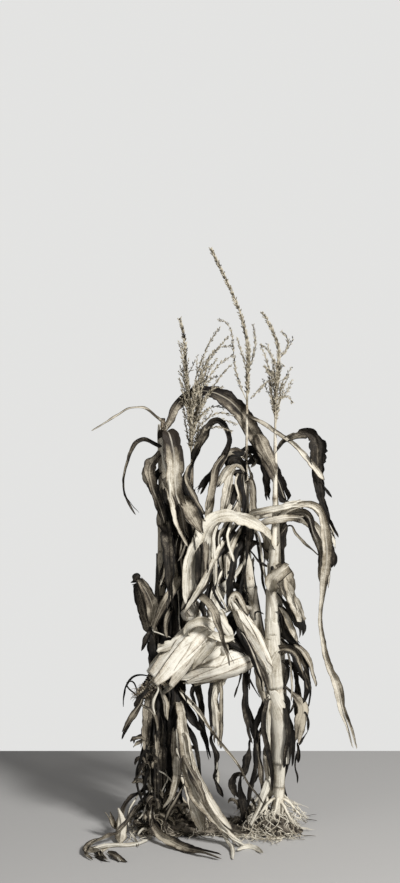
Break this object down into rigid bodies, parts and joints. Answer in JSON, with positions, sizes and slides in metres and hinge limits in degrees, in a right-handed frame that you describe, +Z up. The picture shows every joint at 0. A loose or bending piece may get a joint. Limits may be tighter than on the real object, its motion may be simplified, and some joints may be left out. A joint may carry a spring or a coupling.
{
  "type": "dried maize plant",
  "caption": "Dried maize clump standing on its lifted root crown, with stalks, strap leaves, husked ears and tassels.",
  "frame": {"origin": "on the flat underside of the root crown, between the two feet of the clump", "axes": "+Z up along the stalks, +X to the right and +Y to the back as seen from the front"},
  "size_m": [0.5943, 0.402, 1.2924],
  "materials": {
    "stalk": "dry ribbed straw-coloured stalk with node rings, satin",
    "roots": "matted dry roots with clinging earth, matt",
    "husk": "pale papery ribbed husks over the cob, satin",
    "tassel": "dry branched tassel with small chaffy spikelets, matt",
    "leaf_bright": "bleached dry leaf with parallel veins, satin",
    "leaf_pale": "pale dry leaf with parallel veins, satin",
    "leaf_tan": "tan crumpled dry leaf with parallel veins, matt",
    "leaf_dark": "dark withered leaf with parallel veins, matt"
  },
  "bodies": {
    "root": {"stalk_right": "stalk", "stalk_centre": "stalk", "stalk_left": "stalk", "stalk_outer": "stalk", "root_crown": "roots", "ear_right": "husk", "ear_open": "husk", "ear_low": "husk", "ear_left": "husk", "tassel_centre": "tassel", "tassel_right": "tassel", "tassel_left": "tassel", "leaf_flag_arch_rise": "leaf_tan", "leaf_flag_arch_fall": "leaf_tan", "leaf_flag_thin": "leaf_pale", "leaf_left_curl": "leaf_dark", "leaf_left_loop": "leaf_tan", "leaf_left_broad": "leaf_pale", "leaf_left_strip": "leaf_pale", "leaves_outer_middle": "leaf_dark", "leaves_outer_tips": "leaf_dark", "leaves_outer_low": "leaf_dark", "leaf_inner_arch": "leaf_dark", "leaf_folded": "leaf_dark", "leaf_round_flap": "leaf_tan", "leaf_front_pointed": "leaf_tan", "leaf_drop_dark": "leaf_dark", "leaf_stick": "leaf_pale", "leaf_lower_bright": "leaf_pale", "leaf_lower_pale": "leaf_pale", "leaf_top_right": "leaf_pale", "leaf_centre_ribbon": "leaf_tan", "leaf_centre_crumple": "leaf_dark", "leaves_centre_straps": "leaf_tan", "leaf_centre_pale": "leaf_pale", "leaf_band_behind": "leaf_pale", "leaf_hang_front": "leaf_tan", "leaf_hang_behind": "leaf_dark", "leaf_low_curl": "leaf_dark", "leaf_drop_pale": "leaf_pale", "leaf_centre_low": "leaf_dark", "leaf_right_top_rise": "leaf_dark", "leaf_right_top_fall": "leaf_dark", "leaf_right_long_rise": "leaf_pale", "leaf_right_long_fall": "leaf_pale", "leaf_right_thin": "leaf_tan", "leaf_bright_arch_rise": "leaf_bright", "leaf_bright_arch_fall": "leaf_bright", "leaves_right_flop": "leaf_tan", "leaves_right_middle": "leaf_dark", "leaf_right_slip": "leaf_dark", "leaf_right_inner": "leaf_dark", "leaves_bundle_upper": "leaf_dark", "leaves_bundle_lower": "leaf_dark", "leaves_back_outer": "leaf_dark", "leaves_back_left": "leaf_tan", "leaves_back_centre": "leaf_tan", "leaves_back_right": "leaf_dark", "leaves_back_low": "leaf_dark", "leaves_floor": "leaf_tan"}
  },
  "joints": []
}
